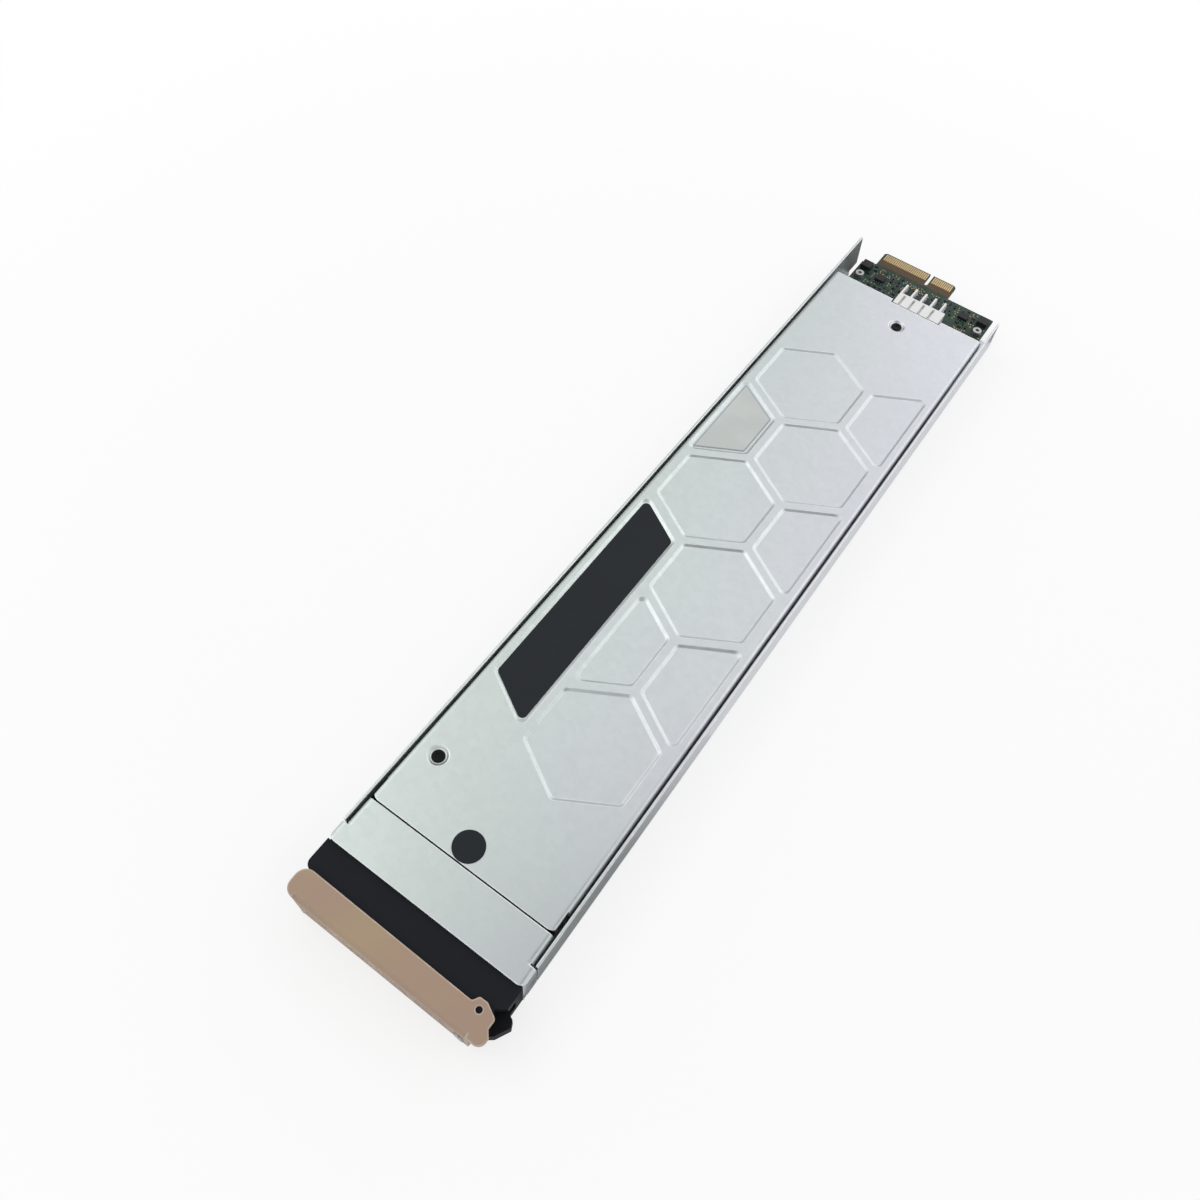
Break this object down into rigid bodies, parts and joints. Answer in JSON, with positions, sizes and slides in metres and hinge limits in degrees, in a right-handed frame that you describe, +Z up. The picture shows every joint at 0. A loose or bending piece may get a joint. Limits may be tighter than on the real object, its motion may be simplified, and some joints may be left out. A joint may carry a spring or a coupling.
{
  "type": "flash memory module",
  "caption": "Flat sheet-metal storage module with a pressed honeycomb cover, black vented bezel, swinging cam lever, and a keyed edge tab and power header at the rear.",
  "frame": {"origin": "underside of the tray, on its centre line, below the seam between front frame and cover", "axes": "+X across to the hook side, +Y to the rear, the way the module slides in, +Z up"},
  "size_m": [0.087, 0.4295, 0.0222],
  "materials": {
    "case_steel": "matte zinc-plated sheet",
    "bezel_black": "fine-grained moulding",
    "lever_tan": "satin tan paint",
    "hook_black": "satin black",
    "steel": "plain bright",
    "black_steel": "black oxide",
    "clear_plastic": "polished clear moulding",
    "lamp_white": "moulded",
    "board_green": "solder mask",
    "gold": "plated",
    "header_white": "moulded",
    "contact_dark": "dark plated",
    "chip_black": "moulded package",
    "pad_grey": "soft filled gel",
    "aluminium": "mill finish",
    "choke_grey": "pressed powder",
    "label_black": "printed film",
    "label_grey": "bare film"
  },
  "bodies": {
    "case": {"tray": "case_steel", "top_cover": "case_steel", "front_frame": "case_steel", "frame_screws": "steel", "bezel": "bezel_black", "lever_pin": "black_steel", "catch_spring": "steel", "light_pipes": "clear_plastic", "status_leds": "lamp_white", "main_board": "board_green", "edge_contacts": "gold", "power_header": "header_white", "power_contacts": "contact_dark", "corner_blocks": "chip_black", "standoffs": "steel", "board_screws": "steel", "cover_posts": "steel", "cover_screws": "black_steel", "upper_flash_chips": "chip_black", "lower_flash_chips": "chip_black", "controller_chips": "chip_black", "buffer_chips": "chip_black", "upper_pads": "pad_grey", "lower_pads": "pad_grey", "upper_spreader": "aluminium", "lower_spreader": "aluminium", "chokes": "choke_grey", "capacitors": "chip_black", "side_label": "label_black", "code_label": "label_grey", "seal_disc": "label_black"},
    "lever": {"lever": "lever_tan", "lever_hook": "hook_black", "hook_rivets": "steel"}
  },
  "joints": [
    {"name": "lever_pivot", "type": "hinge", "parent": "case", "child": "lever", "pos_m": [0.0345, -0.0324, 0.011], "axis": [0, 0, 1], "range_deg": [0, 65]}
  ]
}
